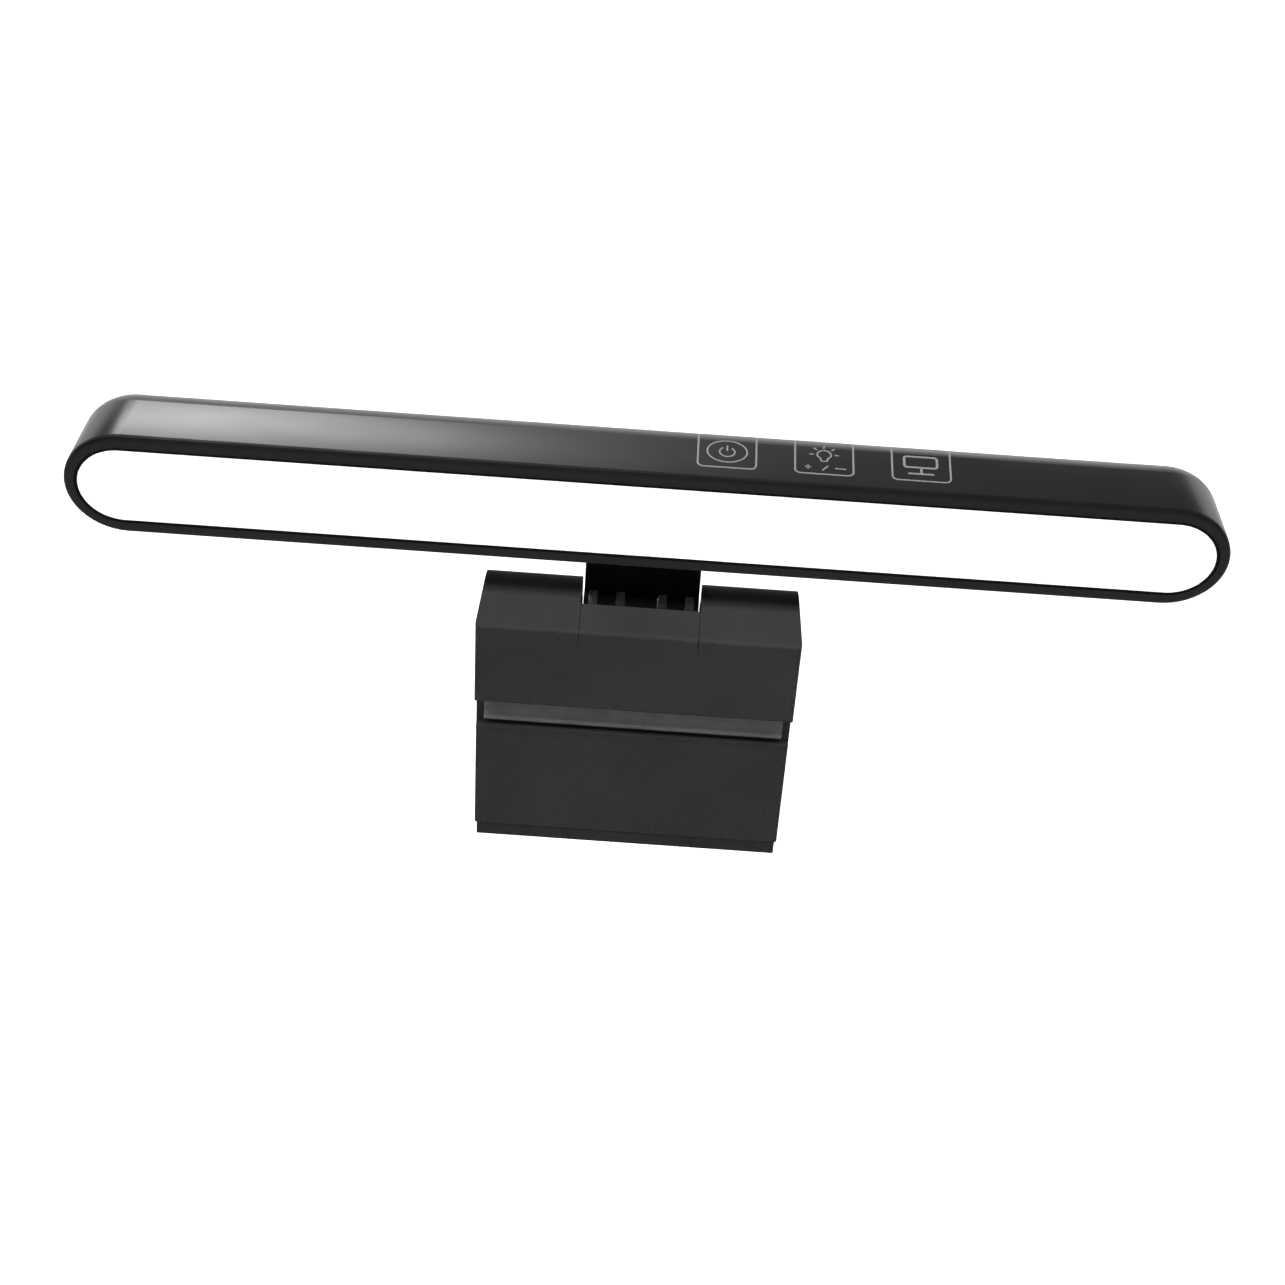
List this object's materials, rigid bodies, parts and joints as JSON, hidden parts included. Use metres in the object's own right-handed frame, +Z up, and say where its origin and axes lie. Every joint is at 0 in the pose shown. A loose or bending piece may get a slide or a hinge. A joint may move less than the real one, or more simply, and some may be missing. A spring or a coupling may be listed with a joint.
{
  "type": "monitor light bar",
  "caption": "Slim clip-on light bar with round ends, a wide opal window, touch keys on top, a tilting neck and a spring-closed screen clip.",
  "frame": {"origin": "centre of the seat pad's underside, where the screen's top edge touches", "axes": "+X along the bar to the right as seen from the front, -Y out of the lit side towards the user, +Z up"},
  "size_m": [0.2606, 0.0257, 0.1206],
  "materials": {
    "bar_paint": "satin black",
    "rim_plastic": "satin black",
    "opal": "opal white",
    "white_plastic": "white",
    "bare_aluminium": "plain",
    "warm_led": "yellow phosphor",
    "cool_led": "pale phosphor",
    "screw_steel": "black oxide",
    "bright_steel": "plain",
    "ring_zinc": "tumbled zinc",
    "board_green": "green mask",
    "chip_black": "black",
    "copper": "copper",
    "brass": "plain",
    "ribbon_amber": "amber film",
    "wire_red": "red",
    "neck_plastic": "black",
    "head_plastic": "dark grey",
    "leg_plastic": "dark grey",
    "pad_rubber": "soft grey",
    "foot_rubber": "soft black"
  },
  "bodies": {
    "clip_head": {"head_shell": "head_plastic", "hinge_cover": "head_plastic", "head_base": "head_plastic", "base_screws": "bright_steel", "seat_pad": "pad_rubber", "lip_pad": "pad_rubber", "tilt_pin": "bright_steel", "tilt_bushes": "brass", "leg_pin": "bright_steel", "leg_spring": "bright_steel"},
    "lamp": {"bar_housing": "bar_paint", "front_bezel": "rim_plastic", "diffuser": "opal", "reflector_tray": "white_plastic", "led_board": "bare_aluminium", "warm_leds": "warm_led", "cool_leds": "cool_led", "heat_spreader": "bare_aluminium", "bar_screws": "bright_steel", "control_board": "board_green", "control_chips": "chip_black", "touch_board": "board_green", "touch_electrodes": "copper", "touch_ribbon": "ribbon_amber", "usb_shell": "bright_steel", "usb_tongue": "chip_black", "power_board": "board_green", "power_leads": "wire_red", "light_leads": "wire_red", "neck_bracket": "bright_steel", "bracket_screws": "bright_steel", "neck_front_shell": "neck_plastic", "neck_rear_shell": "neck_plastic", "neck_screws": "screw_steel", "friction_rings": "ring_zinc"},
    "rear_leg": {"leg_front_shell": "leg_plastic", "leg_rear_cover": "leg_plastic", "leg_screws": "screw_steel", "leg_weight": "bright_steel", "leg_pad": "pad_rubber", "leg_foot": "foot_rubber"}
  },
  "joints": [
    {"name": "lamp_tilt", "type": "hinge", "parent": "clip_head", "child": "lamp", "pos_m": [0, 0.0074, 0.009], "axis": [1, 0, 0], "range_deg": [-15, 40]},
    {"name": "leg_open", "type": "hinge", "parent": "clip_head", "child": "rear_leg", "pos_m": [0, 0.0116, -0.0028], "axis": [1, 0, 0], "range_deg": [0, 45], "stiffness_Nm_per_rad": 0.25, "springref_deg": -51.57, "deforming": ["leg_spring"]}
  ]
}
